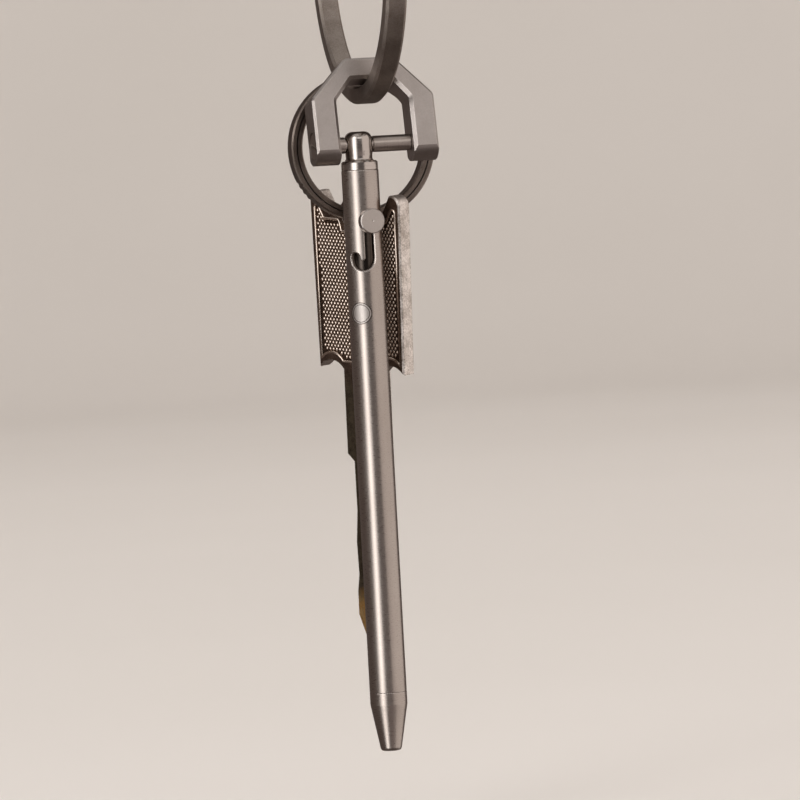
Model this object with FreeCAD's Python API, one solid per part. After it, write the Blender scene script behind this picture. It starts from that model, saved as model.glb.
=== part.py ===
"""A pocket keychain: a round carrier ring that holds a shackle with a bolt-action pen, and a split ring with a key.

Millimetres. +Z is up, +X runs along the shackle's pin, and -Y is the front. The origin is the inside of the
carrier ring's top, where a hook or belt loop carries the whole chain, so everything hangs below it.
"""
import FreeCAD
import Part
import math
import os

V = FreeCAD.Vector
X_AXIS = V(1, 0, 0)
Y_AXIS = V(0, 1, 0)
Z_AXIS = V(0, 0, 1)

# ---------------------------------------------------------------- driving dimensions
RUN = 0.05                      # radial running clearance between parts that move on each other
SEAT = 0.03                     # gap left where one piece hangs on another

RING_INNER_R = 18.4
RING_OUTER_R = 20.8
RING_WIDTH = 2.9
RING_CHAMFER = 0.35

SHACKLE_X = -0.7                # where the shackle's middle sits along the pin's direction
SHACKLE_LEAN = 12.0             # degrees that the shackle rides forward round the carrier ring
SHACKLE_DEPTH = 4.9
SHACKLE_HALF_WIDTH = 8.6
SHACKLE_GAP_HALF = 5.15
SHACKLE_TOP = 11.65             # heights are above the pin's axis
SHACKLE_SHOULDER = 6.25
CROWN_HALF = 3.45
GAP_TOP = 8.75
GAP_SHOULDER = 5.9
GAP_CROWN_HALF = 2.75
ARM_END_R = 2.64
OUTER_CHAMFER = 0.3
INNER_CHAMFER = 0.45
GAP_CORNER_R = 0.9

PIN_R = 0.8
PIN_HEAD_R = 1.9
PIN_HEAD_LENGTH = 0.85
PIN_THREAD_R = 0.7
PIN_SLOT_WIDTH = 0.5
PIN_SLOT_DEPTH = 0.4
HEAD_RECESS = 0.95
SLEEVE_R = 1.12
SLEEVE_BEVEL = 0.08

PEN_X = -2.85
HEAD_R = 1.93
HEAD_TOP = 1.8
HEAD_SHOULDER_R = 1.1
NECK_R = 1.82
NECK_TOP = -1.5
NECK_FILLET = 0.35
COLLAR_R = 2.5
COLLAR_TOP = -2.2               # pen heights are measured from the pin's axis
CAP_SEAM = -3.47
BARREL_R = 2.55
BORE_R = 1.8
NOSE_SEAM = -75.17
NOSE_SHORT_CYLINDER = 1.7
TIP_R = 1.42
TIP_END = -83.27
TIP_ROUND = 0.3
PLUG_R = 1.95
PLUG_LENGTH = 3.6
CAP_GROOVE_R = 1.45
CAP_O_RING_WIRE_R = 0.26
NOSE_GROOVE_R = 1.58
NOSE_O_RING_WIRE_R = 0.2
GROOVE_INSET = 0.35             # from the seam to the groove
TIP_BORE_R = 0.86
SPRING_SHOULDER = -78.0
SPRING_POCKET_R = 1.4

BOLT_TURN = 5.0                 # degrees from the front, round towards +X
BOLT_HEIGHT = -10.45
KNOB_R = 1.72
KNOB_INNER = 2.95               # radii from the pen's axis to the knob's two faces
KNOB_OUTER = 4.2
KNOB_CHAMFER = 0.12
STUD_R = 0.6
SLOT_HALF = STUD_R + RUN + 0.01
SLOT_FOOT = -15.4               # centre of the hook's half turn
HOOK_R = 1.1                    # radius of the slot's centreline round the hook
SLOT_BEVEL = 0.16
PLUNGER_R = BORE_R - RUN
PLUNGER_TOP = -7.7
PLUNGER_END = -19.6

REFILL_R = 1.175
REFILL_WALL = 0.2
REFILL_TOP = -13.9
REFILL_LENGTH = 67.0
REFILL_SHOULDER = -69.5
REFILL_NECK_R = 0.8
REFILL_POINT_R = 0.42
REFILL_CONE = 2.6
REFILL_BALL_R = 0.35
INK_LENGTH = 44.0

SPRING_WIRE_R = 0.14
SPRING_MEAN_R = 1.2
SPRING_TURNS = 8

SPLIT_X = -0.79
SPLIT_Y = 0.85
SPLIT_OUTER_R = 10.18
SPLIT_INNER_R = 8.62
SPLIT_WIDTH = 2.6
SPLIT_SLIT = 0.2
SPLIT_EDGE = 0.2
SPLIT_MOUTH = 40.0              # degrees, where the strip's outer end lies
SCALLOPS = (208.0, 213.3, 218.6, 223.9, 229.2)      # degrees round the split ring
SCALLOP_R = 0.5
SCALLOP_DEPTH = 0.13

KEY_CENTRE = V(-1.28, 2.0, -64.05)
KEY_YAW = -62.0                 # the way the key's face looks, from the front, degrees
KEY_PITCH = 3.75                # its top leans towards its face
KEY_ROLL = 4.8                  # its right side hangs lower
KEY_THICK = 2.2
BOW_HALF = 8.5                  # at its foot; the sides spread slightly towards the top
BOW_TOP_HALF = 9.05
BOW_TOP = 12.8
BOW_FOOT = -12.0
BOW_CORNER = 1.5
BOW_CHAMFER = 0.25
SHOULDER_HALF = 6.95            # each shoulder's top ends here and slants down into its notch
SHOULDER_CORNER = 0.3
NOTCH_OUTER = 5.13
NOTCH_OUTER_R = 0.8
NOTCH_INNER = 3.75
NOTCH_INNER_R = 0.5
NOTCH_FLOOR = 9.85
EYE_HALF = 1.19                 # the flat on top of the eye, before its corners are rounded
EYE_TOP = 13.2
EYE_CORNER = 1.2
KEY_HOLE_HALF = 2.45
KEY_HOLE_TOP = 10.95
KEY_HOLE_FOOT = 8.3
KEY_HOLE_CORNER = 0.9
ARCH_RISE = 1.15                # of the arched edges each side of the blade
BLADE_HALF = 3.5
BLADE_END = -50.0
FIELD_DEPTH = 0.22
FIELD_HALF = 7.95
FIELD_TOP_HALF = 8.1
FIELD_FOOT = -10.95
FIELD_ARCH_INNER = 3.6
FIELD_CORNER = 0.3
FIELD_TOP = [(7.45, 11.0), (6.2, 8.95), (3.2, 8.95), (2.8, 7.3)]      # steps down round the hole
FIELD_SIDE_TOP = 10.5
GROOVE_HALF = 0.65
GROOVE_DEPTH = 0.5

# ---------------------------------------------------------------- places worked out from them
RING_CENTRE = V(0, 0, -RING_INNER_R)
lean = math.radians(SHACKLE_LEAN)
SHACKLE_UP = V(0, math.sin(lean), math.cos(lean))
SHACKLE_FRONT = V(0, -math.cos(lean), math.sin(lean))
seat_r = math.sqrt(RING_INNER_R ** 2 - (SHACKLE_DEPTH / 2) ** 2) - SEAT
PIN_CENTRE = RING_CENTRE - SHACKLE_UP * (seat_r + GAP_TOP) + V(SHACKLE_X, 0, 0)
PEN_ORIGIN = V(PEN_X, PIN_CENTRE.y, PIN_CENTRE.z)


def split_ring_centre():
    """The split ring's bore rests on the outer corners of the carrier ring's inside."""
    half = RING_WIDTH / 2 - RING_CHAMFER
    across = max(abs(half - SPLIT_X), abs(-half - SPLIT_X))
    drop = math.sqrt(SPLIT_INNER_R ** 2 - across ** 2)
    reach = SPLIT_Y + SPLIT_WIDTH / 2
    floor = math.sqrt(RING_INNER_R ** 2 - reach ** 2)
    return V(SPLIT_X, SPLIT_Y, RING_CENTRE.z - floor - drop + SEAT)


SPLIT_CENTRE = split_ring_centre()


# ---------------------------------------------------------------- shared helpers
def revolve(points, centre, axis, side):
    """Turn a closed outline of (radius, height) points about an axis; side is the direction of radius."""
    corners = [centre + side * r + axis * h for r, h in points]
    face = Part.Face(Part.makePolygon(corners + corners[:1]))
    return face.revolve(centre, axis, 360)


def turned(points):
    """Turn an outline of (radius, height) about the pen's own axis."""
    return revolve(points, PEN_ORIGIN, Z_AXIS, X_AXIS)


def outline(points):
    return Part.Wire(Part.makePolygon(points + points[:1]))


def rounded_outline(points, radius):
    """A flat closed outline in the XY plane, with every corner rounded by its own radius."""
    count = len(points)
    radii = radius if isinstance(radius, list) else [radius] * count
    edges = []
    starts = []
    for i, corner in enumerate(points):
        before = (points[i - 1] - corner).normalize()
        after = (points[(i + 1) % count] - corner).normalize()
        half = before.getAngle(after) / 2
        back = radii[i] / math.tan(half)
        into = (before + after).normalize()
        mid = corner + into * (radii[i] / math.sin(half) - radii[i])
        starts.append((corner + before * back, mid, corner + after * back))
    for i, (enter, mid, leave) in enumerate(starts):
        if radii[i] > 0:
            edges.append(Part.Arc(enter, mid, leave).toShape())
        following = starts[(i + 1) % count][0]
        edges.append(Part.makeLine(leave, following))
    return Part.Wire(edges)


def place(shape, origin, right, up, front):
    """Move a shape from local axes (X right, Y up, Z towards the viewer) to its place."""
    turn = FreeCAD.Rotation(right, up, front, "XYZ")
    moved = shape.copy()
    moved.Placement = FreeCAD.Placement(origin, turn)
    return moved


def edges_on(shape, test):
    return [e for e in shape.Edges if all(test(v.Point) for v in e.Vertexes)]


def save(name, shape):
    shape = shape.removeSplitter() if name in TIDY else shape
    shape.exportStep("parts/" + name + ".step")
    print(name, len(shape.Solids), "solid", round(shape.Volume, 2), "mm3", "valid", shape.isValid())


TIDY = ("shackle_body",)


# ---------------------------------------------------------------- the rings
def carrier_ring():
    half = RING_WIDTH / 2
    c = RING_CHAMFER
    section = [
        (RING_INNER_R, -half + c),
        (RING_INNER_R + c, -half),
        (RING_OUTER_R - c, -half),
        (RING_OUTER_R, -half + c),
        (RING_OUTER_R, half - c),
        (RING_OUTER_R - c, half),
        (RING_INNER_R + c, half),
        (RING_INNER_R, half - c),
    ]
    return revolve(section, RING_CENTRE, X_AXIS, Z_AXIS)


def split_ring():
    """One flat strip wound twice, with a slit between the turns and a few worn dents in its rim."""
    half = SPLIT_WIDTH / 2
    c = SPLIT_EDGE
    section = [
        (SPLIT_INNER_R, -half + c),
        (SPLIT_INNER_R + c, -half),
        (SPLIT_OUTER_R - c, -half),
        (SPLIT_OUTER_R, -half + c),
        (SPLIT_OUTER_R, half - c),
        (SPLIT_OUTER_R - c, half),
        (SPLIT_INNER_R + c, half),
        (SPLIT_INNER_R, half - c),
    ]
    ring = revolve(section, V(0, 0, 0), Z_AXIS, X_AXIS)
    middle = (SPLIT_INNER_R + SPLIT_OUTER_R) / 2
    gap = SPLIT_SLIT / 2
    tall = 2 * SPLIT_WIDTH
    band = Part.makeCylinder(middle + gap, tall, V(0, 0, -SPLIT_WIDTH), Z_AXIS, 335)
    band = band.cut(Part.makeCylinder(middle - gap, tall, V(0, 0, -SPLIT_WIDTH)))
    reach = SPLIT_OUTER_R - SPLIT_INNER_R
    outlet = Part.makeBox(reach, SPLIT_SLIT, tall, V(middle, 0, -SPLIT_WIDTH))
    inlet = Part.makeBox(reach, SPLIT_SLIT, tall, V(middle - reach, -SPLIT_SLIT, -SPLIT_WIDTH))
    inlet.rotate(V(0, 0, 0), Z_AXIS, 335)
    strip = ring.cut(band).cut(outlet).cut(inlet)
    strip.rotate(V(0, 0, 0), Z_AXIS, SPLIT_MOUTH)
    for turn in SCALLOPS:
        a = math.radians(turn)
        out = SPLIT_OUTER_R + SCALLOP_R - SCALLOP_DEPTH
        foot = V(out * math.cos(a), out * math.sin(a), -SPLIT_WIDTH)
        strip = strip.cut(Part.makeCylinder(SCALLOP_R, tall, foot, Z_AXIS))
    return place(strip, SPLIT_CENTRE, X_AXIS, Z_AXIS, V(0, -1, 0))


# ---------------------------------------------------------------- the shackle and its pin
def shackle_outline():
    w = SHACKLE_HALF_WIDTH
    return [
        V(-w, -ARM_END_R, 0),
        V(w, -ARM_END_R, 0),
        V(w, SHACKLE_SHOULDER, 0),
        V(CROWN_HALF, SHACKLE_TOP, 0),
        V(-CROWN_HALF, SHACKLE_TOP, 0),
        V(-w, SHACKLE_SHOULDER, 0),
    ]


def window_outline(grow):
    """The shackle's opening, or that opening grown sideways and upwards for its bevel."""
    g = SHACKLE_GAP_HALF + grow
    low = -2 * ARM_END_R
    points = [
        V(-g, low, 0),
        V(g, low, 0),
        V(g, GAP_SHOULDER + grow / 2, 0),
        V(GAP_CROWN_HALF + grow / 2, GAP_TOP + grow, 0),
        V(-GAP_CROWN_HALF - grow / 2, GAP_TOP + grow, 0),
        V(-g, GAP_SHOULDER + grow / 2, 0),
    ]
    corner = GAP_CORNER_R + grow / 2
    return rounded_outline(points, [0, 0, corner, corner / 2, corner / 2, corner])


def shackle_local():
    half = SHACKLE_DEPTH / 2
    blank = Part.Face(outline(shackle_outline())).extrude(V(0, 0, SHACKLE_DEPTH))
    blank.translate(V(0, 0, -half))
    rim = edges_on(blank, lambda p: abs(abs(p.z) - half) < 1e-6)
    rim = [e for e in rim if e.BoundBox.YMax > -ARM_END_R + 0.01]
    blank = blank.makeChamfer(OUTER_CHAMFER, rim)
    width = 3 * SHACKLE_HALF_WIDTH
    side = Part.makeBox(width, SHACKLE_TOP, SHACKLE_DEPTH, V(-width / 2, 0, -half))
    round_end = Part.makeCylinder(ARM_END_R, width, V(-width / 2, 0, 0), X_AXIS)
    blank = blank.common(side.fuse(round_end))
    window = Part.Face(window_outline(0)).extrude(V(0, 0, 2 * SHACKLE_DEPTH))
    window.translate(V(0, 0, -SHACKLE_DEPTH))
    body = blank.cut(window)
    for sign in (1, -1):
        body = body.cut(window_bevel(sign * half, sign))
    return body


def window_bevel(face_height, sign):
    """The wedge that bevels the opening's edge where it meets one flat face."""
    at_face = window_outline(INNER_CHAMFER)
    below = window_outline(0)
    at_face.translate(V(0, 0, face_height))
    below.translate(V(0, 0, face_height - sign * INNER_CHAMFER))
    return Part.makeLoft([below, at_face], True, True)


def shackle_body():
    body = shackle_local()
    w = SHACKLE_HALF_WIDTH
    left = V(-w, 0, 0)
    body = body.cut(Part.makeCylinder(PIN_R + RUN, w, left, X_AXIS))
    body = body.cut(Part.makeCylinder(PIN_HEAD_R + RUN, HEAD_RECESS, left, X_AXIS))
    body = body.cut(Part.makeCylinder(PIN_THREAD_R + RUN, 2 * w, V(0, 0, 0), X_AXIS))
    return place(body, PIN_CENTRE, X_AXIS, SHACKLE_UP, SHACKLE_FRONT)


def shackle_pin():
    w = SHACKLE_HALF_WIDTH
    start = -w + (HEAD_RECESS - PIN_HEAD_LENGTH)
    step = SHACKLE_GAP_HALF
    bevel = 0.15
    profile = [
        (0, start),
        (PIN_HEAD_R - bevel, start),
        (PIN_HEAD_R, start + bevel),
        (PIN_HEAD_R, start + PIN_HEAD_LENGTH),
        (PIN_R, start + PIN_HEAD_LENGTH),
        (PIN_R, step - bevel),
        (PIN_THREAD_R, step - bevel),
        (PIN_THREAD_R, w - 2 * bevel),
        (PIN_THREAD_R - bevel, w - bevel),
        (0, w - bevel),
    ]
    pin = revolve(profile, V(0, 0, 0), X_AXIS, Y_AXIS)
    slot = Part.makeBox(PIN_SLOT_DEPTH, PIN_SLOT_WIDTH, 4 * PIN_HEAD_R)
    slot.translate(V(start, -PIN_SLOT_WIDTH / 2, -2 * PIN_HEAD_R))
    slot.rotate(V(0, 0, 0), X_AXIS, 25)
    return place(pin.cut(slot), PIN_CENTRE, X_AXIS, SHACKLE_UP, SHACKLE_FRONT)


def sleeve(start, end):
    """A spacer on the pin, between two places along it measured from the shackle's middle."""
    profile = [
        (PIN_R + RUN, start),
        (SLEEVE_R - SLEEVE_BEVEL, start),
        (SLEEVE_R, start + SLEEVE_BEVEL),
        (SLEEVE_R, end - SLEEVE_BEVEL),
        (SLEEVE_R - SLEEVE_BEVEL, end),
        (PIN_R + RUN, end),
    ]
    return revolve(profile, PIN_CENTRE, X_AXIS, Z_AXIS)


def left_sleeve():
    return sleeve(SEAT - SHACKLE_GAP_HALF, PEN_X - SHACKLE_X - HEAD_R - SEAT)


def right_sleeve():
    return sleeve(PEN_X - SHACKLE_X + HEAD_R + SEAT, SHACKLE_GAP_HALF - SEAT)


# ---------------------------------------------------------------- the pen's shell
def cap_head():
    """The rounded head that hangs on the pin: a domed top, slightly bulging sides and a fillet at its foot."""
    def at(radius, height):
        return PEN_ORIGIN + X_AXIS * radius + Z_AXIS * height

    bend = HEAD_SHOULDER_R * math.sqrt(0.5)
    side_r = HEAD_R - 0.03
    flat_r = side_r - HEAD_SHOULDER_R
    side_top = HEAD_TOP - HEAD_SHOULDER_R
    fillet = NECK_FILLET
    dip = fillet * (1 - math.sqrt(0.5))
    fillet_top = at(NECK_R, COLLAR_TOP + fillet)
    edges = [
        Part.makeLine(at(0, HEAD_TOP), at(flat_r, HEAD_TOP)),
        Part.Arc(at(flat_r, HEAD_TOP), at(flat_r + bend, side_top + bend), at(side_r, side_top)).toShape(),
        Part.Arc(at(side_r, side_top), at(HEAD_R, side_top / 2 + NECK_TOP / 2), at(NECK_R, NECK_TOP)).toShape(),
        Part.makeLine(at(NECK_R, NECK_TOP), fillet_top),
        Part.Arc(fillet_top, at(NECK_R + dip, COLLAR_TOP + dip), at(NECK_R + fillet, COLLAR_TOP)).toShape(),
        Part.makeLine(at(NECK_R + fillet, COLLAR_TOP), at(0, COLLAR_TOP)),
        Part.makeLine(at(0, COLLAR_TOP), at(0, HEAD_TOP)),
    ]
    return Part.Face(Part.Wire(edges)).revolve(PEN_ORIGIN, Z_AXIS, 360)


def cap():
    """The head that hangs on the pin, its collar, and the plug that screws into the barrel."""
    bevel = 0.22
    groove_top = CAP_SEAM - GROOVE_INSET
    groove_foot = groove_top - 2.2 * CAP_O_RING_WIRE_R
    stem = turned([
        (0, COLLAR_TOP),
        (COLLAR_R - bevel, COLLAR_TOP),
        (COLLAR_R, COLLAR_TOP - bevel),
        (COLLAR_R, CAP_SEAM + 0.06),
        (COLLAR_R - 0.06, CAP_SEAM),
        (PLUG_R, CAP_SEAM),
        (PLUG_R, groove_top),
        (CAP_GROOVE_R, groove_top),
        (CAP_GROOVE_R, groove_foot),
        (PLUG_R, groove_foot),
        (PLUG_R, CAP_SEAM - PLUG_LENGTH + 0.2),
        (PLUG_R - 0.2, CAP_SEAM - PLUG_LENGTH),
        (0, CAP_SEAM - PLUG_LENGTH),
    ])
    body = cap_head().fuse(stem).removeSplitter()
    hole = Part.makeCylinder(PIN_R + RUN, 4 * HEAD_R, PEN_ORIGIN - X_AXIS * 2 * HEAD_R, X_AXIS)
    return body.cut(hole)


def o_ring(seam, side, groove_r, wire_r):
    """A rubber ring in a plug's groove, just past the seam; side is -1 below the seam and +1 above it."""
    height = seam + side * (GROOVE_INSET + 1.1 * wire_r)
    return Part.makeTorus(groove_r + wire_r, wire_r, PEN_ORIGIN + Z_AXIS * height, Z_AXIS)


def cap_o_ring():
    return o_ring(CAP_SEAM, -1, CAP_GROOVE_R, CAP_O_RING_WIRE_R)


def nose_o_ring():
    return o_ring(NOSE_SEAM, 1, NOSE_GROOVE_R, NOSE_O_RING_WIRE_R)


def on_barrel(radius, along, height, offset, rise):
    """A point on a cylinder round the pen's axis, beside the slot's centreline.

    along is the centreline's distance round the barrel's outside, and height is its height.
    offset and rise are the way across and up from there, so the slot keeps its width at every radius.
    """
    turn = math.radians(BOLT_TURN) + along / BARREL_R + math.asin(offset / radius)
    return PEN_ORIGIN + V(radius * math.sin(turn), -radius * math.cos(turn), height + rise)


def slot_edges(radius, half):
    """The J-shaped slot's closed outline on a cylinder of that radius, as curves in order."""
    steps = 8

    def curve(place_at, first, last):
        angles = [math.radians(first + (last - first) * i / steps) for i in range(steps + 1)]
        spline = Part.BSplineCurve()
        spline.interpolate([place_at(math.cos(a), math.sin(a)) for a in angles])
        return spline.toShape()

    def upper_end(c, s):
        return on_barrel(radius, 0, BOLT_HEIGHT, half * c, half * s)

    def hook_end(c, s):
        return on_barrel(radius, -2 * HOOK_R, SLOT_FOOT, half * c, half * s)

    def hook_side(way):
        def side(c, s):
            return on_barrel(radius, HOOK_R * (c - 1), SLOT_FOOT + HOOK_R * s, way * half * c, way * half * s)
        return side

    right_foot = on_barrel(radius, 0, SLOT_FOOT, half, 0)
    left_foot = on_barrel(radius, 0, SLOT_FOOT, -half, 0)
    return [
        Part.makeLine(right_foot, upper_end(1, 0)),
        curve(upper_end, 0, 90),
        curve(upper_end, 90, 180),
        Part.makeLine(upper_end(-1, 0), left_foot),
        curve(hook_side(-1), 0, -90),
        curve(hook_side(-1), -90, -180),
        curve(hook_end, 0, 90),
        curve(hook_end, 90, 180),
        curve(hook_side(1), -180, -90),
        curve(hook_side(1), -90, 0),
    ]


def slot_walls():
    """A chimney of ruled faces through the barrel's wall, which opens out at the outside for the bevel."""
    levels = [
        slot_edges(BORE_R - 2 * RUN, SLOT_HALF),
        slot_edges(BARREL_R - SLOT_BEVEL, SLOT_HALF),
        slot_edges(BARREL_R + SLOT_BEVEL / 2, SLOT_HALF + 1.5 * SLOT_BEVEL),
    ]
    faces = []
    for lower, upper in zip(levels, levels[1:]):
        faces += [Part.makeRuledSurface(a, b) for a, b in zip(lower, upper)]
    return Part.makeShell(faces)


def barrel():
    edge = 0.06
    screw_r = PLUG_R + RUN
    screw = PLUG_LENGTH + 0.3
    tube = turned([
        (screw_r, CAP_SEAM),
        (BARREL_R - edge, CAP_SEAM),
        (BARREL_R, CAP_SEAM - edge),
        (BARREL_R, NOSE_SEAM + edge),
        (BARREL_R - edge, NOSE_SEAM),
        (screw_r, NOSE_SEAM),
        (screw_r, NOSE_SEAM + screw),
        (BORE_R, NOSE_SEAM + screw + 0.2),
        (BORE_R, CAP_SEAM - screw - 0.2),
        (screw_r, CAP_SEAM - screw),
    ])
    pieces, _ = tube.generalFuse([slot_walls()])
    return max(pieces.Solids, key=lambda s: s.Volume)


def nose_cone():
    edge = 0.05
    neck_top = NOSE_SEAM + PLUG_LENGTH
    groove_foot = NOSE_SEAM + GROOVE_INSET
    groove_top = groove_foot + 2.2 * NOSE_O_RING_WIRE_R
    taper_start = NOSE_SEAM - NOSE_SHORT_CYLINDER
    return turned([
        (TIP_BORE_R, TIP_END),
        (TIP_R - TIP_ROUND, TIP_END),
        (TIP_R - 0.3 * TIP_ROUND, TIP_END + 0.3 * TIP_ROUND),
        (TIP_R + 0.05, TIP_END + TIP_ROUND + 0.1),
        (BARREL_R, taper_start),
        (BARREL_R, NOSE_SEAM - edge),
        (BARREL_R - edge, NOSE_SEAM),
        (PLUG_R, NOSE_SEAM),
        (PLUG_R, groove_foot),
        (NOSE_GROOVE_R, groove_foot),
        (NOSE_GROOVE_R, groove_top),
        (PLUG_R, groove_top),
        (PLUG_R, neck_top - 0.2),
        (PLUG_R - 0.2, neck_top),
        (SPRING_POCKET_R, neck_top),
        (SPRING_POCKET_R, SPRING_SHOULDER),
        (TIP_BORE_R, SPRING_SHOULDER),
    ])


# ---------------------------------------------------------------- the bolt, refill and spring
def bolt_frame(shape):
    """Stand a shape, modelled along +Z from the pen's axis, at the bolt's height and direction."""
    turn = math.radians(BOLT_TURN)
    outward = V(math.sin(turn), -math.cos(turn), 0)
    across = V(math.cos(turn), math.sin(turn), 0)
    return place(shape, PEN_ORIGIN + Z_AXIS * BOLT_HEIGHT, across, Z_AXIS, outward)


def bolt_knob():
    """A flat disc on a stud that passes through the slot and screws into the plunger."""
    c = KNOB_CHAMFER
    profile = [
        (0, 0.2),
        (STUD_R - 0.1, 0.2),
        (STUD_R, 0.3),
        (STUD_R, KNOB_INNER),
        (KNOB_R - c, KNOB_INNER),
        (KNOB_R, KNOB_INNER + c),
        (KNOB_R, KNOB_OUTER - c),
        (KNOB_R - c, KNOB_OUTER),
        (0.16, KNOB_OUTER),
        (0, KNOB_OUTER - 0.1),
    ]
    return bolt_frame(revolve(profile, V(0, 0, 0), Z_AXIS, X_AXIS))


def plunger():
    """A rod in the barrel with a cross hole for the stud and a socket for the refill's end."""
    bevel = 0.2
    rod = turned([
        (0, PLUNGER_TOP),
        (PLUNGER_R - bevel, PLUNGER_TOP),
        (PLUNGER_R, PLUNGER_TOP - bevel),
        (PLUNGER_R, PLUNGER_END + bevel),
        (PLUNGER_R - bevel, PLUNGER_END),
        (REFILL_R + RUN, PLUNGER_END),
        (REFILL_R + RUN, REFILL_TOP),
        (0, REFILL_TOP),
    ])
    hole = Part.makeCylinder(STUD_R, 3 * BORE_R, V(0, 0, 0.1), Z_AXIS)
    return rod.cut(bolt_frame(hole))


def refill_tube():
    inner = REFILL_R - REFILL_WALL
    return turned([
        (inner, REFILL_TOP),
        (REFILL_R, REFILL_TOP),
        (REFILL_R, REFILL_SHOULDER),
        (REFILL_NECK_R, REFILL_SHOULDER),
        (REFILL_NECK_R, REFILL_SHOULDER + 0.8),
        (inner, REFILL_SHOULDER + 0.8),
    ])


def refill_ink():
    inner = REFILL_R - REFILL_WALL
    foot = REFILL_SHOULDER + 1.2
    return Part.makeCylinder(inner, INK_LENGTH, PEN_ORIGIN + Z_AXIS * foot, Z_AXIS)


def refill_plug():
    """The vented plug that closes the refill's top."""
    inner = REFILL_R - REFILL_WALL
    return turned([
        (0.3, REFILL_TOP),
        (inner, REFILL_TOP),
        (inner, REFILL_TOP - 2.5),
        (0.3, REFILL_TOP - 2.5),
    ])


def refill_tip():
    """The brass point: a neck pressed into the tube, then the cone that carries the ball."""
    end = REFILL_TOP - REFILL_LENGTH
    ball = end + REFILL_BALL_R
    point = turned([
        (0, REFILL_SHOULDER + 0.8),
        (REFILL_NECK_R, REFILL_SHOULDER + 0.8),
        (REFILL_NECK_R, end + REFILL_CONE),
        (REFILL_POINT_R, end + 0.5 * REFILL_BALL_R),
        (0, end + 0.5 * REFILL_BALL_R),
    ])
    return point.cut(Part.makeSphere(REFILL_BALL_R, PEN_ORIGIN + Z_AXIS * ball))


def refill_ball():
    height = REFILL_TOP - REFILL_LENGTH + REFILL_BALL_R
    return Part.makeSphere(REFILL_BALL_R, PEN_ORIGIN + Z_AXIS * height)


def return_spring():
    """A helix with open ends, between the nose's shoulder and the refill's."""
    gap = 0.03
    low = SPRING_SHOULDER + SPRING_WIRE_R + gap
    high = REFILL_SHOULDER - SPRING_WIRE_R - gap
    helix = Part.makeHelix((high - low) / SPRING_TURNS, high - low, SPRING_MEAN_R)
    start = V(SPRING_MEAN_R, 0, 0)
    wire = Part.Wire(Part.makeCircle(SPRING_WIRE_R, start, Y_AXIS))
    coil = Part.Wire(helix).makePipeShell([wire], True, True)
    coil.translate(PEN_ORIGIN + Z_AXIS * low)
    return coil


# ---------------------------------------------------------------- the key
def key_axes():
    yaw = math.radians(KEY_YAW)
    pitch = math.radians(KEY_PITCH)
    roll = math.radians(KEY_ROLL)
    level_face = V(math.sin(yaw), -math.cos(yaw), 0)
    level_right = V(math.cos(yaw), math.sin(yaw), 0)
    tipped_up = Z_AXIS * math.cos(pitch) + level_face * math.sin(pitch)
    face = level_face * math.cos(pitch) - Z_AXIS * math.sin(pitch)
    right = level_right * math.cos(roll) - tipped_up * math.sin(roll)
    up = tipped_up * math.cos(roll) + level_right * math.sin(roll)
    return right, up, face


def arch(inner, outer, low, side):
    """The round cutter that arches a straight edge upwards between two places on one side of the middle."""
    half = (outer - inner) / 2
    radius = (half ** 2 + ARCH_RISE ** 2) / (2 * ARCH_RISE)
    centre = V(side * (inner + half), low + ARCH_RISE - radius, -KEY_THICK)
    return Part.makeCylinder(radius, 2 * KEY_THICK, centre)


def mirrored(right_side):
    """A closed outline from the corners of its right side, listed upwards."""
    return right_side + [V(-p.x, p.y, p.z) for p in reversed(right_side)]


def key_bow():
    """A plate with two shoulders, a notch inside each, and a raised eye between the notches."""
    spare = 0.5
    corners = mirrored([
        V(BOW_HALF, BOW_FOOT - spare, 0),
        V(BOW_TOP_HALF, BOW_TOP, 0),
        V(SHOULDER_HALF, BOW_TOP, 0),
        V(NOTCH_OUTER, NOTCH_FLOOR, 0),
        V(NOTCH_INNER, NOTCH_FLOOR, 0),
        V(EYE_HALF, EYE_TOP, 0),
    ])
    radii = [0, BOW_CORNER, SHOULDER_CORNER, NOTCH_OUTER_R, NOTCH_INNER_R, EYE_CORNER]
    bow = Part.Face(rounded_outline(corners, radii + radii[::-1])).extrude(V(0, 0, KEY_THICK))
    bow.translate(V(0, 0, -KEY_THICK / 2))
    rim = edges_on(bow, lambda p: abs(abs(p.z) - KEY_THICK / 2) < 1e-6)
    rim = [e for e in rim if e.BoundBox.YMax > BOW_FOOT]
    bow = bow.makeChamfer(BOW_CHAMFER, rim)
    for side in (1, -1):
        bow = bow.cut(arch(BLADE_HALF, BOW_HALF, BOW_FOOT, side))
    return bow


def blade_outline():
    """A full-width shank, then the cut edges with shallow flats, and a blunt point."""
    b = BLADE_HALF
    step = BOW_FOOT - 11.9
    cut = b - 1.3
    points = [
        V(-b, BOW_FOOT + 2, 0),
        V(b, BOW_FOOT + 2, 0),
        V(b, step, 0),
        V(cut + 0.1, step - 1.2, 0),
        V(cut + 0.1, step - 6.0, 0),
        V(cut - 0.5, step - 7.2, 0),
        V(cut - 0.5, step - 10.0, 0),
        V(cut + 0.4, step - 12.0, 0),
        V(cut + 0.1, step - 16.5, 0),
        V(cut + 0.5, step - 19.0, 0),
        V(cut + 0.5, BLADE_END + 3.4, 0),
        V(1.1, BLADE_END, 0),
        V(-1.1, BLADE_END, 0),
        V(-cut - 0.5, BLADE_END + 3.4, 0),
        V(-cut - 0.5, step - 19.5, 0),
        V(-cut - 0.1, step - 17.0, 0),
        V(-cut - 0.3, step - 12.5, 0),
        V(-cut + 0.1, step - 8.0, 0),
        V(-cut, step - 1.0, 0),
        V(-b, step, 0),
    ]
    return outline(points)


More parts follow.
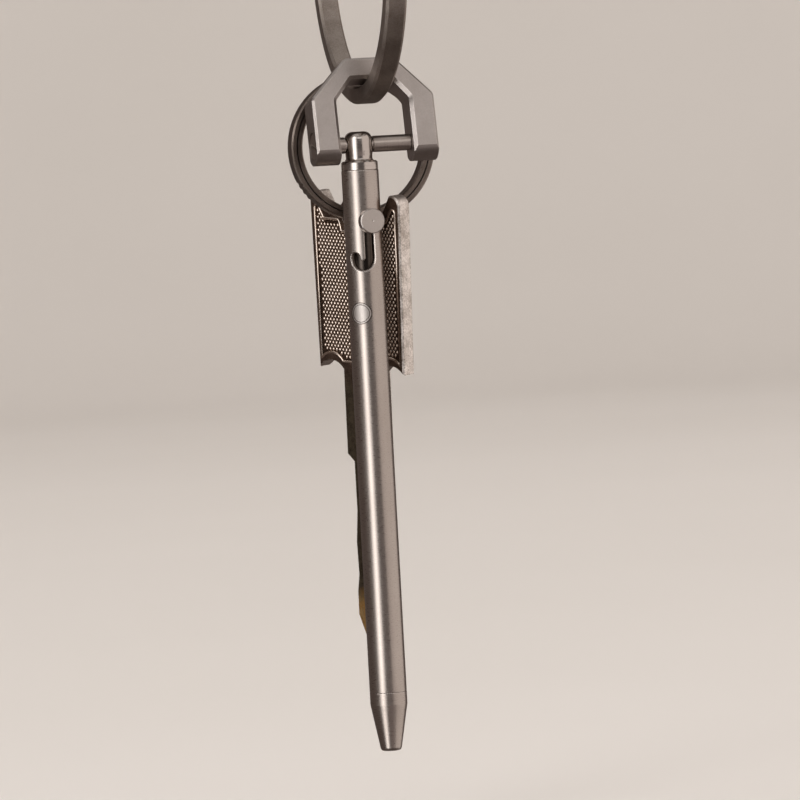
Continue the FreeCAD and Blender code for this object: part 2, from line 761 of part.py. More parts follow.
def key_field(side):
    """The sunk panel of the bow that carries the grip pattern, on one face."""
    sides = [V(FIELD_HALF, FIELD_FOOT, 0), V(FIELD_TOP_HALF, FIELD_SIDE_TOP, 0)]
    corners = mirrored(sides + [V(w, h, 0) for w, h in FIELD_TOP])
    radii = [0] + [FIELD_CORNER] * (len(FIELD_TOP) + 1)
    panel = Part.Face(rounded_outline(corners, radii + radii[::-1])).extrude(V(0, 0, KEY_THICK))
    low = KEY_THICK / 2 - FIELD_DEPTH if side > 0 else -KEY_THICK * 1.5 + FIELD_DEPTH
    panel.translate(V(0, 0, low))
    for way in (1, -1):
        cutter = arch(FIELD_ARCH_INNER, FIELD_HALF + 0.15, FIELD_FOOT, way)
        panel = panel.cut(cutter)
    return panel


def key_hole():
    h = KEY_HOLE_HALF
    corners = [
        V(-h, KEY_HOLE_FOOT, -KEY_THICK),
        V(h, KEY_HOLE_FOOT, -KEY_THICK),
        V(h, KEY_HOLE_TOP, -KEY_THICK),
        V(-h, KEY_HOLE_TOP, -KEY_THICK),
    ]
    return Part.Face(rounded_outline(corners, KEY_HOLE_CORNER)).extrude(V(0, 0, 2 * KEY_THICK))


def key():
    half = KEY_THICK / 2
    blade = Part.Face(blade_outline()).extrude(V(0, 0, KEY_THICK))
    blade.translate(V(0, 0, -half))
    plate = key_bow().fuse(blade).removeSplitter().cut(key_hole())
    length = BOW_FOOT - BLADE_END - 3
    for side in (1, -1):
        plate = plate.cut(key_field(side))
        low = half - GROOVE_DEPTH if side > 0 else -half
        groove = Part.makeBox(2 * GROOVE_HALF, length, GROOVE_DEPTH)
        groove.translate(V(-GROOVE_HALF + side * 0.8, BLADE_END, low))
        plate = plate.cut(groove)
    right, up, face = key_axes()
    return place(plate, KEY_CENTRE, right, up, face)


PARTS = {
    "carrier_ring": carrier_ring,
    "shackle_body": shackle_body,
    "shackle_pin": shackle_pin,
    "left_sleeve": left_sleeve,
    "right_sleeve": right_sleeve,
    "cap": cap,
    "cap_o_ring": cap_o_ring,
    "barrel": barrel,
    "nose_cone": nose_cone,
    "nose_o_ring": nose_o_ring,
    "bolt_knob": bolt_knob,
    "plunger": plunger,
    "return_spring": return_spring,
    "refill_tube": refill_tube,
    "refill_plug": refill_plug,
    "refill_ink": refill_ink,
    "refill_tip": refill_tip,
    "refill_ball": refill_ball,
    "split_ring": split_ring,
    "key": key,
}

os.makedirs("parts", exist_ok=True)
for part_name, make in PARTS.items():
    save(part_name, make())
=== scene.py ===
import math

import bmesh
import bpy
from mathutils import Matrix, Vector

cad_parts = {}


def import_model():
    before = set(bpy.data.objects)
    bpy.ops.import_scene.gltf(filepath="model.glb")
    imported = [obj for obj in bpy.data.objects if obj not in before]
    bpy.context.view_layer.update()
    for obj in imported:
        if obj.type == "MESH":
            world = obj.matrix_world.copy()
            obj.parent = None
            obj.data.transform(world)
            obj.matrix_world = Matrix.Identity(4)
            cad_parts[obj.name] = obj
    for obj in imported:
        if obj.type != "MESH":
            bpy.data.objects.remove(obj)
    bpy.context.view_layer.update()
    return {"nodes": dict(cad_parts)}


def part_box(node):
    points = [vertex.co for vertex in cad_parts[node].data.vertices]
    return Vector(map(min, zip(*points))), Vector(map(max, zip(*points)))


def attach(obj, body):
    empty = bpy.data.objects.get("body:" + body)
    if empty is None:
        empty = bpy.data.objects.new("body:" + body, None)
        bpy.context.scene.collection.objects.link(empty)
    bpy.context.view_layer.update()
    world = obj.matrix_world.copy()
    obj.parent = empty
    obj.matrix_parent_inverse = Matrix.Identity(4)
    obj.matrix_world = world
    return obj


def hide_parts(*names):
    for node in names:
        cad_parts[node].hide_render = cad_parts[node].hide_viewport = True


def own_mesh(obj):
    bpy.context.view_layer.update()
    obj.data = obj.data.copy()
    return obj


# The looks of a pocket keychain: a titanium pen in a shackle, a large ring, a split ring and a key.
# Everything is in metres, in the CAD frame: +Z up, +X along the shackle's pin, -Y the front.
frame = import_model()
MM = 0.001

# ---------------------------------------------------------------- places, from the frame


def middle(node):
    low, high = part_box(node)
    return (low + high) / 2


UP = Vector((0, 0, 1))
RING_CENTRE = middle("carrier_ring")
PEN_AXIS = middle("nose_cone")
PEN_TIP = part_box("nose_cone")[0].z

# The key's own frame: right and up lie in its face, and face is the way it looks.
KEY_CENTRE = Vector((-1.28, 2.0, -64.05)) * MM
KEY_YAW = math.radians(-62)
KEY_PITCH = math.radians(3.75)
KEY_ROLL = math.radians(4.8)
KEY_HALF_THICK = 1.1 * MM
FIELD_DEPTH = 0.22 * MM             # how deep the patterned panel is sunk in each face


def key_axes():
    level_face = Vector((math.sin(KEY_YAW), -math.cos(KEY_YAW), 0))
    across = Vector((math.cos(KEY_YAW), math.sin(KEY_YAW), 0))
    tipped = UP * math.cos(KEY_PITCH) + level_face * math.sin(KEY_PITCH)
    face = level_face * math.cos(KEY_PITCH) - UP * math.sin(KEY_PITCH)
    right = across * math.cos(KEY_ROLL) - tipped * math.sin(KEY_ROLL)
    up = tipped * math.cos(KEY_ROLL) + across * math.sin(KEY_ROLL)
    return right, up, face


KEY_RIGHT, KEY_UP, KEY_FACE = key_axes()

# The plain ring engraved on the barrel.
MARK_TURN = math.radians(-36.5)
MARK_OUT = Vector((math.sin(MARK_TURN), -math.cos(MARK_TURN), 0))
MARK_SIDE = Vector((-MARK_OUT.y, MARK_OUT.x, 0))
MARK_CENTRE = Vector((PEN_AXIS.x, PEN_AXIS.y, -67.77 * MM))
MARK_R = 1.45 * MM

# ---------------------------------------------------------------- camera
AZIMUTH = math.radians(-14.76)
ELEVATION = math.radians(2.35)
ROLL = math.radians(3.12)
DISTANCE = 760 * MM
LENS = 247.5                        # millimetres, on a sensor 36 mm wide
AIM = RING_CENTRE - Vector((0, 0, 57 * MM))
AIM_RIGHT = 2.74 * MM
AIM_DOWN = 4.73 * MM

toward_camera = Vector((
    math.sin(AZIMUTH) * math.cos(ELEVATION),
    -math.cos(AZIMUTH) * math.cos(ELEVATION),
    math.sin(ELEVATION),
))
level_right = Vector((math.cos(AZIMUTH), math.sin(AZIMUTH), 0))
level_up = toward_camera.cross(level_right)


def make_camera():
    image_right = level_right * math.cos(ROLL) - level_up * math.sin(ROLL)
    image_up = level_right * math.sin(ROLL) + level_up * math.cos(ROLL)
    place = AIM + toward_camera * DISTANCE
    target = AIM + image_right * AIM_RIGHT - image_up * AIM_DOWN
    back = (place - target).normalized()
    side = image_up.cross(back).normalized()
    turn = Matrix((side, back.cross(side), back)).transposed()
    camera = bpy.data.objects.new("camera", bpy.data.cameras.new("camera"))
    camera.data.lens = LENS
    camera.data.sensor_width = 36
    camera.data.clip_start = 0.05
    camera.data.clip_end = 20
    camera.matrix_world = Matrix.Translation(place) @ turn.to_4x4()
    bpy.context.scene.collection.objects.link(camera)
    bpy.context.scene.camera = camera


# ---------------------------------------------------------------- meshes
def new_object(name, mesh, material):
    made = bpy.data.objects.new(name, mesh)
    made.data.materials.append(material)
    bpy.context.scene.collection.objects.link(made)
    return made


def grid_faces(rows, columns, closed):
    """Faces between rows of points; closed joins each row's end to its start."""
    faces = []
    for i in range(rows - 1):
        for j in range(columns if closed else columns - 1):
            k = (j + 1) % columns
            here, on = i * columns, (i + 1) * columns
            faces.append((here + j, here + k, on + k, on + j))
    return faces


def smooth(mesh):
    for polygon in mesh.polygons:
        polygon.use_smooth = True
    return mesh


def grid_mesh(name, rows, closed=False):
    mesh = bpy.data.meshes.new(name)
    points = [point for row in rows for point in row]
    mesh.from_pydata(points, [], grid_faces(len(rows), len(rows[0]), closed))
    return smooth(mesh)


def solid_mesh(name, points, faces):
    """A closed mesh, with every face turned outward."""
    mesh = bpy.data.meshes.new(name)
    mesh.from_pydata(points, [], faces)
    work = bmesh.new()
    work.from_mesh(mesh)
    bmesh.ops.recalc_face_normals(work, faces=work.faces)
    work.to_mesh(mesh)
    work.free()
    return smooth(mesh)


# ---------------------------------------------------------------- node trees
class Graph:
    """A material's node tree, built one node at a time."""

    def __init__(self, name):
        self.material = bpy.data.materials.new(name)
        self.material.use_nodes = True
        self.tree = self.material.node_tree
        self.tree.nodes.clear()

    def add(self, kind, inputs=None, **settings):
        node = self.tree.nodes.new("ShaderNode" + kind)
        for key, value in settings.items():
            setattr(node, key, value)
        for key, value in (inputs or {}).items():
            socket = node.inputs[key]
            if isinstance(value, bpy.types.NodeSocket):
                self.tree.links.new(value, socket)
            else:
                socket.default_value = value
        return node

    def coords(self, scale=(1, 1, 1)):
        """The object's own coordinates in millimetres, stretched by scale."""
        place = self.add("TexCoord").outputs["Object"]
        return self.add("Mapping", {"Vector": place, "Scale": [s / MM for s in scale]}).outputs["Vector"]

    def away_from(self, point):
        """The vector from a point to the place being shaded, in the object's own coordinates."""
        place = self.add("TexCoord").outputs["Object"]
        return self.add("VectorMath", {0: place, 1: point}, operation="SUBTRACT").outputs["Vector"]

    def dot(self, a, b):
        return self.add("VectorMath", {0: a, 1: b}, operation="DOT_PRODUCT").outputs["Value"]

    def noise(self, vector, scale, detail=3.0, rough=0.6):
        inputs = {"Vector": vector, "Scale": scale, "Detail": detail, "Roughness": rough}
        return self.add("TexNoise", inputs).outputs["Fac"]

    def math(self, operation, a, b=0.0):
        return self.add("Math", {0: a, 1: b}, operation=operation).outputs[0]

    def times(self, a, b):
        return self.math("MULTIPLY", a, b)

    def plus(self, a, b):
        return self.math("ADD", a, b)

    def minus(self, a, b):
        return self.math("SUBTRACT", a, b)

    def size(self, a):
        return self.math("ABSOLUTE", a)

    def ramp(self, value, low, high, to_low=0.0, to_high=1.0):
        """Spreads a value from low...high onto to_low...to_high, and holds it at the ends."""
        inputs = {"Value": value, "From Min": low, "From Max": high, "To Min": to_low, "To Max": to_high}
        return self.add("MapRange", inputs).outputs["Result"]

    def mix(self, share, a, b):
        """Colour a where share is 0 and colour b where it is 1."""
        return self.add("Mix", {0: share, 6: a, 7: b}, data_type="RGBA").outputs[2]

    def bump(self, height, depth, under=None):
        inputs = {"Height": height, "Distance": depth, "Strength": 1.0}
        if under is not None:
            inputs["Normal"] = under
        return self.add("Bump", inputs).outputs["Normal"]

    def rounded(self, radius, samples):
        return self.add("Bevel", {"Radius": radius}, samples=samples).outputs["Normal"]

    def edges(self, radius):
        """1 on the edges, 0 on the flats: how far the rounded normal turns from the true one."""
        true = self.add("NewGeometry").outputs["Normal"]
        return self.ramp(self.dot(self.rounded(radius, 4), true), 1.0, 0.9)

    def finish(self, **inputs):
        shader = self.add("BsdfPrincipled", inputs)
        self.add("OutputMaterial", {"Surface": shader.outputs["BSDF"]})
        return self.material

    def metal(self, colour, roughness, normal, **more):
        inputs = {"Base Color": colour, "Roughness": roughness, "Normal": normal, **more}
        return self.finish(Metallic=1.0, **inputs)

    def light(self, tint, strength):
        shader = self.add("Emission", {"Color": tint, "Strength": strength})
        self.add("OutputMaterial", {"Surface": shader.outputs[0]})
        return self.material


def grey(*rgb):
    """A colour from three sRGB values of 0 to 255, as linear RGBA."""
    shares = [value / 255 for value in rgb]
    return (*(c / 12.92 if c <= 0.04045 else ((c + 0.055) / 1.055) ** 2.4 for c in shares), 1.0)


# ---------------------------------------------------------------- materials
def blasted_metal(name, light, dark, rough, worn_highlit_colour=grey(205, 198, 192), wear_and_highlight=0.5, grain=0.012):
    """Bead-blasted metal: a fine even grain, slightly mottled, brighter on the edges: handling wear
    together with a painted highlight.

    Two arguments give the pale edge colour and its share on the edges, and grain is the depth of the grain
    in millimetres.
    """
    g = Graph(name)
    fine = g.noise(g.coords(), 6.0, 2.0, 0.7)
    broad = g.noise(g.coords(), 0.35, 4.0)
    edge = g.edges(0.12 * MM)
    colour = g.mix(g.ramp(g.plus(fine, broad), 0.7, 1.3), dark, light)
    # Painted highlight on the edges, together with real handling wear: the edges go toward a pale colour.
    colour = g.mix(g.times(edge, wear_and_highlight), colour, worn_highlit_colour)
    roughness = g.ramp(fine, 0.3, 0.7, rough - 0.05, rough + 0.05)
    roughness = g.minus(roughness, g.times(edge, 0.12))
    return g.metal(colour, roughness, g.bump(fine, grain * MM))


def engraved_ring(g):
    """Masks for the mark on the barrel: its double line, and its inside."""
    offset = g.away_from(MARK_CENTRE)
    across, up, out = (g.dot(offset, axis) for axis in (MARK_SIDE, UP, MARK_OUT))
    r = g.math("DIVIDE", g.math("SQRT", g.plus(g.times(across, across), g.times(up, up))), MARK_R)
    front = g.math("GREATER_THAN", out, 0.0)
    outer = g.ramp(g.size(g.minus(r, 1.0)), 0.06, 0.03)
    inner = g.ramp(g.size(g.minus(r, 0.82)), 0.05, 0.02)
    line = g.times(g.math("MAXIMUM", outer, inner), front)
    return line, g.times(g.ramp(r, 1.0, 0.95), front)


def turned_titanium(name, light, dark, rough, marked=False):
    """Lathe-turned satin titanium: a fine grain round the pen's axis, and bright edges, polished and with
    a painted highlight.
    """
    g = Graph(name)
    lines = g.noise(g.coords((1.5, 1.5, 11)), 1.0, 3.0, 0.7)
    broad = g.noise(g.coords((0.4, 0.4, 0.12)), 1.0, 3.0)
    colour = g.mix(g.ramp(g.plus(lines, broad), 0.7, 1.3), dark, light)
    roughness = g.ramp(lines, 0.3, 0.7, rough - 0.05, rough + 0.07)
    height = lines
    if marked:
        line, inside = engraved_ring(g)
        colour = g.mix(g.times(inside, 0.6), colour, grey(226, 221, 217))
        colour = g.mix(g.times(line, 0.9), colour, grey(92, 83, 78))
        roughness = g.plus(roughness, g.times(inside, 0.2))
        height = g.minus(lines, g.times(line, 4.0))
    rim_r = 0.14 * MM
    polished_highlit_rim = g.edges(rim_r)
    # Painted highlight on the polished edges: their colour goes toward near white.
    colour = g.mix(g.times(polished_highlit_rim, 0.8), colour, grey(236, 231, 227))
    roughness = g.minus(roughness, g.times(polished_highlit_rim, 0.1))
    normal = g.bump(height, 0.0008 * MM, under=g.rounded(rim_r, 6))
    tangent = g.add("Tangent", direction_type="RADIAL", axis="Z").outputs["Tangent"]
    brushed = {"Anisotropic": 0.3, "Anisotropic Rotation": 0.25, "Tangent": tangent}
    return g.metal(colour, roughness, normal, **brushed)


def polished_titanium(name, light, dark, rough, stretch=(0.3, 0.3, 9)):
    """Polished titanium with faint turning lines; stretch sets which way they run."""
    g = Graph(name)
    lines = g.noise(g.coords(stretch), 1.0, 3.0)
    speck = g.noise(g.coords(), 5.0, 3.0)
    colour = g.mix(lines, dark, light)
    normal = g.bump(g.plus(lines, g.times(speck, 0.6)), 0.0016 * MM)
    roughness = g.ramp(g.plus(lines, speck), 0.7, 1.3, rough - 0.03, rough + 0.05)
    return g.metal(colour, roughness, normal)


def worn_key(name):
    """Nickel-plated brass: bright on the bow, dark down the blade, and rubbed through to brass at the tip.
    """
    g = Graph(name)
    fine = g.noise(g.coords(), 4.5, 3.0, 0.75)
    broad = g.noise(g.coords(), 0.5, 4.0)
    scratches = g.noise(g.coords((5, 5, 0.5)), 1.0, 2.0)
    mottle = g.ramp(g.plus(fine, broad), 0.8, 1.2)

    offset = g.away_from(KEY_CENTRE)
    across, height, depth = (g.dot(offset, axis) for axis in (KEY_RIGHT, KEY_UP, KEY_FACE))
    sunk = g.ramp(g.size(depth), 0.98 * MM, 0.9 * MM)
    on_face = g.ramp(g.size(depth), 1.07 * MM, 1.095 * MM)
    over_foot = g.ramp(height, -11.2 * MM, -11.1 * MM)
    under_top = g.ramp(height, 11.1 * MM, 11.0 * MM)
    between_sides = g.ramp(g.size(across), 8.25 * MM, 8.2 * MM)
    in_field = g.times(sunk, g.times(g.times(over_foot, under_top), between_sides))

    wall = g.mix(mottle, grey(178, 168, 159), grey(244, 237, 231))
    face = g.mix(mottle, grey(96, 80, 70), grey(140, 120, 106))
    floor = g.mix(mottle, grey(78, 62, 52), grey(104, 86, 74))
    blade = g.mix(mottle, grey(92, 84, 70), grey(132, 122, 104))
    brass = g.mix(mottle, grey(236, 184, 112), grey(255, 222, 160))
    tarnish = g.mix(g.ramp(fine, 0.46, 0.56), grey(92, 78, 66), grey(236, 228, 219))

    bow = g.mix(in_field, g.mix(on_face, wall, face), floor)
    colour = g.mix(g.ramp(height, -15 * MM, -11.8 * MM), blade, bow)
    ragged_height = g.plus(height, g.times(broad, 4 * MM))
    colour = g.mix(g.ramp(ragged_height, -40.5 * MM, -43.5 * MM), colour, brass)
    colour = g.mix(g.times(g.edges(0.16 * MM), 0.8), colour, tarnish)
    colour = g.mix(g.times(g.ramp(scratches, 0.62, 0.7), 0.35), colour, grey(120, 108, 98))
    roughness = g.ramp(fine, 0.3, 0.7, 0.3, 0.46)
    roughness = g.plus(roughness, g.times(in_field, 0.08))
    return g.metal(colour, roughness, g.bump(g.plus(fine, scratches), 0.022 * MM))


def plain(name, colour, metallic, rough):
    """A small hidden piece's material: one colour, slightly speckled."""
    g = Graph(name)
    speck = g.noise(g.coords(), 4.0, 3.0)
    darker = [c * 0.85 for c in colour[:3]] + [1.0]
    shade = g.mix(g.ramp(speck, 0.3, 0.7), darker, colour)
    roughness = g.ramp(speck, 0.3, 0.7, rough - 0.04, rough + 0.04)
    return g.finish(**{"Base Color": shade, "Metallic": metallic, "Roughness": roughness})


def dress(node, material):
    mesh = frame["nodes"][node].data
    mesh.materials.clear()
    mesh.materials.append(material)


# ---------------------------------------------------------------- stage
FLOOR_BELOW = 12 * MM               # under the pen's tip
STUDIO_R = 1.3
COVE_R = 0.5
WALL_TOP = 1.6
CARD_R = 1.15
CEILING = 1.25
WARM = (1.0, 0.9, 0.84, 1.0)
PALE = (1.0, 0.97, 0.95, 1.0)


def stage_light(name, mesh, material):
    """A glowing sheet that the metal reflects and the camera doesn't see."""
    made = new_object(name, mesh, material)
    made.visible_camera = False
    made.visible_shadow = False


def studio():
    """A pale floor that curves up into a wall all round."""
    ground = PEN_TIP - FLOOR_BELOW
    profile = [(0.0, 0.0), (0.4, 0.0), (0.9, 0.0)]
    steps = 16
    for i in range(steps + 1):
        a = math.pi / 2 * i / steps
        profile.append((STUDIO_R + COVE_R * math.sin(a), COVE_R * (1 - math.cos(a))))
    profile.append((STUDIO_R + COVE_R, WALL_TOP))
    count = 96
    turns = [2 * math.pi * j / count for j in range(count)]
    rows = [[(r * math.cos(a), r * math.sin(a), ground + h) for a in turns] for r, h in profile]
    g = Graph("pale_floor")
    tint = g.mix(g.noise(g.coords(), 0.004, 2.0), grey(226, 222, 217), grey(232, 228, 224))
    material = g.finish(**{"Base Color": tint, "Roughness": 0.9})
    floor = new_object("floor", grid_mesh("floor", rows, closed=True), material)
    floor.visible_glossy = False


def card(name, first, last, low, high, strength, tint, soft=0.0):
    """A glowing curved card round the object, from first to last degrees to the camera's right.

    It fades over the share called soft of its width at each side.
    """
    columns = 24
    rows = [[], []]
    fade = []
    for j in range(columns + 1):
        share = j / columns
        a = math.radians(first + (last - first) * share)
        out = toward_camera * math.cos(a) + level_right * math.sin(a)
        out.z = 0
        foot = PEN_AXIS + out.normalized() * CARD_R
        rows[0].append((foot.x, foot.y, low))
        rows[1].append((foot.x, foot.y, high))
        fade.append(1.0 if soft == 0 else min(1.0, share / soft, (1 - share) / soft))
    mesh = grid_mesh(name, rows)
    mesh.attributes.new("glow", "FLOAT", "POINT").data.foreach_set("value", fade * 2)
    g = Graph(name)
    glow = g.add("Attribute", attribute_name="glow").outputs["Fac"]
    stage_light(name, mesh, g.light(tint, g.times(glow, strength)))


def ceiling():
    """A soft glowing ceiling that the metal reflects."""
    half = 1.0
    rows = [[(x, y, CEILING) for x in (-half, half)] for y in (-half, half)]
    g = Graph("ceiling")
    stage_light("ceiling", grid_mesh("ceiling", rows), g.light((1.0, 0.94, 0.9, 1.0), 0.55))


def overhead_lamp():
    """A lamp that lights the floor and leaves no hot reflection in the metal."""
    lamp = bpy.data.lights.new("overhead", "AREA")
    lamp.shape = "RECTANGLE"
    lamp.size = 1.4
    lamp.size_y = 1.4
    lamp.energy = 14
    lamp.color = (1.0, 0.97, 0.94)
    hung = bpy.data.objects.new("overhead", lamp)
    hung.location = (0.1, 0.1, 1.3)
    hung.visible_glossy = False
    bpy.context.scene.collection.objects.link(hung)


def world():
    made = bpy.data.worlds.new("studio")
    made.use_nodes = True
    background = made.node_tree.nodes["Background"]
    background.inputs["Color"].default_value = (0.115, 0.09, 0.08, 1)
    background.inputs["Strength"].default_value = 1.0
    bpy.context.scene.world = made


def light_the_stage():
    studio()
    card("strip_left", -58, -10, -0.9, 1.0, 3.5, PALE, soft=0.5)
    card("card_front", -12, 30, -0.25, 0.2, 0.12, (1.0, 0.87, 0.83, 1.0), soft=0.1)
    card("card_low", -8, 50, -0.95, -0.28, 0.3, (1.0, 0.84, 0.8, 1.0), soft=0.1)
    card("softbox_right", 31, 80, -0.9, 1.0, 0.85, WARM)
    card("softbox_far_right", 80, 126, -0.9, 1.0, 0.84, WARM)
    card("card_high", -8, 31, 0.25, 0.95, 1.0, PALE)
    card("strip_high", -78, -56, 0.16, 0.55, 3.4, PALE, soft=0.2)
    ceiling()
    overhead_lamp()
    world()
    bpy.context.scene.view_settings.view_transform = "Standard"


# ---------------------------------------------------------------- the key's grip pattern
# Every number in this section is in millimetres, in the key's frame.
FIELD_HALF = 7.95
FIELD_FOOT = -10.95
FIELD_HIGH = 11                     # rows of bumps are laid out up to here
FIELD_TOP = [
    (8.1, 10.35), (7.95, 10.75), (7.6, 10.88), (7.35, 10.8), (6.3, 9.1), (6.0, 8.95), (3.4, 8.95),
    (3.15, 8.8), (2.85, 7.5), (2.65, 7.3),
]
FIELD_EYE = 7.3                     # the panel's top under the key's eye
ARCH_FROM = 3.6
ARCH_TO = 8.1
ARCH_RISE = 1.15
BEAD_R = 0.2
BEAD_SUNK = 0.08
BUMP_ACROSS = 0.66
BUMP_UP = 0.46
BUMP_HALF_WIDE = 0.25
BUMP_HALF_TALL = 0.33
BUMP_HEIGHT = 0.19
BUMP_CORNER = 0.82                  # every second corner is drawn in, which makes a rounded diamond
BUMP_CLEAR = 0.45                   # from a bump's middle to the panel's edge
# Each level of a bump: its share of the full width, and its share of the full height.
BUMP_LEVELS = ((1.0, -0.05), (0.8, 0.45), (0.45, 0.85), (0.12, 1.0))


def field_outline():
    """The sunk panel's edge, counter-clockwise from the middle of its foot."""
    half = (ARCH_TO - ARCH_FROM) / 2
    radius = (half ** 2 + ARCH_RISE ** 2) / (2 * ARCH_RISE)
    middle_w = ARCH_FROM + half
    middle_h = FIELD_FOOT + ARCH_RISE - radius
    start = math.atan2(FIELD_FOOT - middle_h, ARCH_FROM - middle_w)
    stop = math.acos((FIELD_HALF - middle_w) / radius)
    steps = 14
    turns = [start + (stop - start) * i / steps for i in range(steps + 1)]
    arch = [(middle_w + radius * math.cos(a), middle_h + radius * math.sin(a)) for a in turns]
    side = arch + FIELD_TOP
    return [(0.0, FIELD_FOOT)] + side + [(0.0, FIELD_EYE)] + [(-w, h) for w, h in reversed(side)]


def inside_by(outline, w, h):
    """How far a point lies inside an outline; negative outside."""
    near = math.inf
    inside = False
    for (w0, h0), (w1, h1) in zip(outline, outline[1:] + outline[:1]):
        square = (w1 - w0) ** 2 + (h1 - h0) ** 2
        share = max(0.0, min(1.0, ((w - w0) * (w1 - w0) + (h - h0) * (h1 - h0)) / square))
        near = min(near, math.hypot(w - w0 - share * (w1 - w0), h - h0 - share * (h1 - h0)))
        if (h0 > h) != (h1 > h) and w < w0 + (h - h0) / (h1 - h0) * (w1 - w0):
            inside = not inside
    return near if inside else -near


def on_key(w, h, t, side):
    """A point in the key's frame, t off its middle plane; side is 1 for the front and -1 for the back."""
    return KEY_CENTRE + (KEY_RIGHT * w + KEY_UP * h + KEY_FACE * (side * t)) * MM


def bump_middles(outline):
    """Rows of places inside the panel, each row half a step along from the last."""
    rows = round((FIELD_HIGH - FIELD_FOOT) / BUMP_UP)
    columns = round(FIELD_HALF / BUMP_ACROSS) + 1
    for i in range(rows):
        h = FIELD_FOOT + BUMP_UP * (i + 0.5)
        for j in range(-columns, columns + 1):
            w = BUMP_ACROSS * (j + 0.5 * (i % 2))
            if inside_by(outline, w, h) >= BUMP_CLEAR:
                yield w, h


def key_bumps(side):
    """Small pointed domes all over the sunk panel."""
    floor = (KEY_HALF_THICK - FIELD_DEPTH) / MM
    ring = 8
    points, faces = [], []
    for w, h in bump_middles(field_outline()):
        first = len(points)
        for reach, rise in BUMP_LEVELS:
            for k in range(ring):
                a = 2 * math.pi * k / ring
                out = reach * (1.0 if k % 2 == 0 else BUMP_CORNER)
                dw = BUMP_HALF_WIDE * out * math.cos(a)
                dh = BUMP_HALF_TALL * out * math.sin(a)
                points.append(on_key(w + dw, h + dh, floor + rise * BUMP_HEIGHT, side))
        faces += [tuple(first + n for n in face) for face in grid_faces(len(BUMP_LEVELS), ring, True)]
        top = len(points) - ring
        faces.append(tuple(top + k for k in range(ring)))
        faces.append(tuple(first + k for k in reversed(range(ring))))
    return solid_mesh("key_bumps", points, faces)


def key_bead(side):
    """A round bead, half sunk, along the panel's edge."""
    outline = field_outline()
    count = len(outline)
    ring = 10
    points = []
    for i, (w, h) in enumerate(outline):
        back = Vector((w - outline[i - 1][0], h - outline[i - 1][1])).normalized()
        on = Vector((outline[(i + 1) % count][0] - w, outline[(i + 1) % count][1] - h)).normalized()
        along = (back + on).normalized()
        wide = 1 / max(0.6, along.dot(on))
        for k in range(ring):
            a = 2 * math.pi * k / ring
            out = BEAD_R * math.cos(a) * wide
            t = KEY_HALF_THICK / MM - BEAD_SUNK + BEAD_R * math.sin(a)
            points.append(on_key(w + along.y * out, h - along.x * out, t, side))
    total = count * ring
    faces = [tuple(n % total for n in face) for face in grid_faces(count + 1, ring, True)]
    return solid_mesh("key_bead", points, faces)


def key_pattern():
    light, dark = grey(244, 230, 218), grey(214, 196, 180)
    material = blasted_metal("key_bumps", light, dark, 0.2, wear_and_highlight=0.0, grain=0.003)
    for side, where in ((1, "front"), (-1, "back")):
        for mesh, name in ((key_bumps(side), "key_bumps_"), (key_bead(side), "key_bead_")):
            made = new_object(name + where, mesh, material)
            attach(made, "key")


# ---------------------------------------------------------------- the return spring
SPRING_WIRE_R = 0.14 * MM
SPRING_COIL_STEP = 2.1 * SPRING_WIRE_R      # from one closed coil to the next
SPRING_TURNS = 10
SPRING_CLOSED = 1.0                         # closed coils at each end


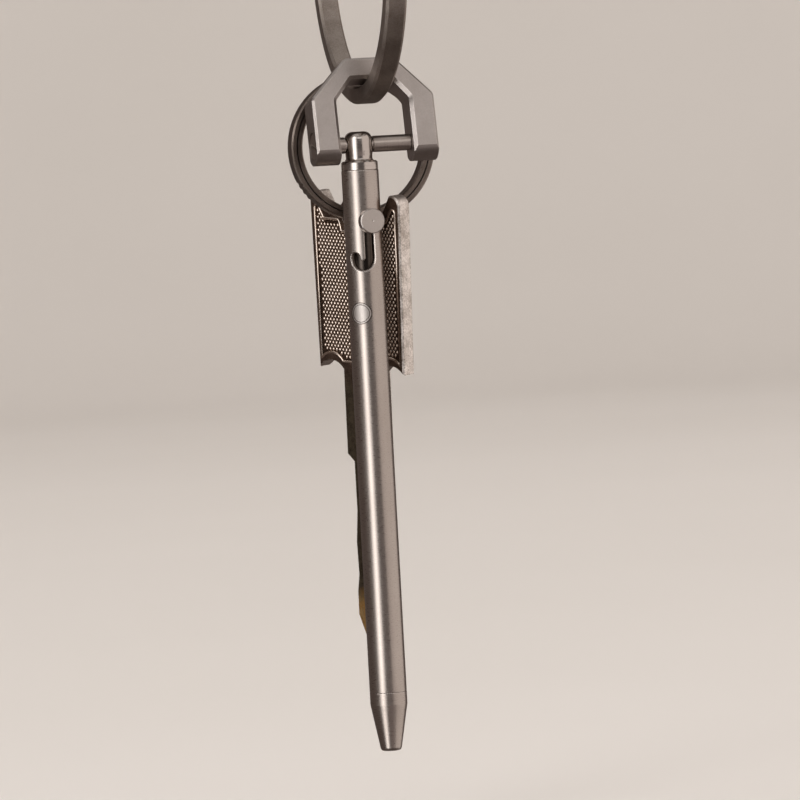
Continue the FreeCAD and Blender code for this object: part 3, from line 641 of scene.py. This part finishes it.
def return_spring(material):
    """A wound spring with closed end coils, drawn at one fixed length; the real spring shortens as the
    bolt goes down.
    """
    low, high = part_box("return_spring")
    mean = (high.x - low.x) / 2 - SPRING_WIRE_R
    per_turn = 28
    ring = 8
    steps = SPRING_TURNS * per_turn
    open_turns = SPRING_TURNS - 2 * SPRING_CLOSED
    open_length = high.z - low.z - 2 * SPRING_WIRE_R - 2 * SPRING_CLOSED * SPRING_COIL_STEP
    points = []
    for i in range(steps + 1):
        turn = i / per_turn
        low_part = min(turn, SPRING_CLOSED) * SPRING_COIL_STEP
        high_part = max(0.0, turn - (SPRING_TURNS - SPRING_CLOSED)) * SPRING_COIL_STEP
        free = min(max(turn - SPRING_CLOSED, 0.0), open_turns) / open_turns
        z = low.z + SPRING_WIRE_R + low_part + free * open_length + high_part
        a = 2 * math.pi * turn
        for k in range(ring):
            b = 2 * math.pi * k / ring
            r = mean + SPRING_WIRE_R * math.cos(b)
            x, y = PEN_AXIS.x + r * math.cos(a), PEN_AXIS.y + r * math.sin(a)
            points.append((x, y, z + SPRING_WIRE_R * math.sin(b)))
    faces = grid_faces(steps + 1, ring, True)
    faces.append(tuple(range(ring)))
    faces.append(tuple(steps * ring + k for k in reversed(range(ring))))
    made = new_object("spring_coil", solid_mesh("spring_coil", points, faces), material)
    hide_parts("return_spring")
    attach(made, "nose")
    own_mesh(made)


# ---------------------------------------------------------------- the object
def dress_all():
    pen_light, pen_dark = grey(189, 180, 173), grey(175, 165, 158)
    satin = polished_titanium("titanium_pin", grey(200, 191, 184), grey(180, 170, 163), 0.3, (9, 0.3, 0.3))
    rubber = plain("black_rubber", grey(38, 36, 35), 0.0, 0.6)
    plastic = plain("refill_plastic", grey(232, 230, 222), 0.0, 0.35)
    spring = plain("spring_steel", grey(190, 190, 192), 1.0, 0.2)
    materials = {
        "carrier_ring": blasted_metal(
            "titanium_ring", grey(180, 170, 162), grey(140, 130, 122), 0.5, wear_and_highlight=0.35),
        # The shackle's pale edges are a painted highlight on its chamfers, together with real wear.
        "shackle_body": blasted_metal(
            "titanium_blasted", grey(188, 181, 177), grey(170, 162, 157), 0.36,
            worn_highlit_colour=grey(232, 227, 223), wear_and_highlight=0.8),
        "shackle_pin": satin,
        "left_sleeve": satin,
        "right_sleeve": satin,
        "cap": polished_titanium("titanium_polished", grey(205, 198, 192), grey(185, 176, 170), 0.19),
        "cap_o_ring": rubber,
        "barrel": turned_titanium("titanium_marked", pen_light, pen_dark, 0.3, marked=True),
        "nose_cone": turned_titanium("titanium_turned", pen_light, pen_dark, 0.3),
        "nose_o_ring": rubber,
        "bolt_knob": blasted_metal(
            "titanium_disc", grey(200, 193, 188), grey(186, 179, 174), 0.34, grain=0.004),
        # The plunger's dark colour is painted shade: it sits inside the barrel, seen through the slot.
        "plunger": polished_titanium("plunger_painted_shade", grey(84, 77, 72), grey(60, 54, 50), 0.2),
        "return_spring": spring,
        "refill_tube": plastic,
        "refill_plug": plastic,
        "refill_ink": plain("ink_blue_black", grey(22, 22, 48), 0.0, 0.15),
        "refill_tip": plain("brass", grey(214, 178, 110), 1.0, 0.25),
        "refill_ball": plain("carbide", grey(190, 190, 194), 1.0, 0.12),
        "split_ring": blasted_metal(
            "split_ring_steel", grey(140, 128, 120), grey(112, 102, 95), 0.36,
            worn_highlit_colour=grey(170, 160, 152), wear_and_highlight=0.6, grain=0.006),
        "key": worn_key("key_nickel"),
    }
    for node, material in materials.items():
        dress(node, material)
    key_pattern()
    return_spring(spring)


make_camera()
light_the_stage()
dress_all()
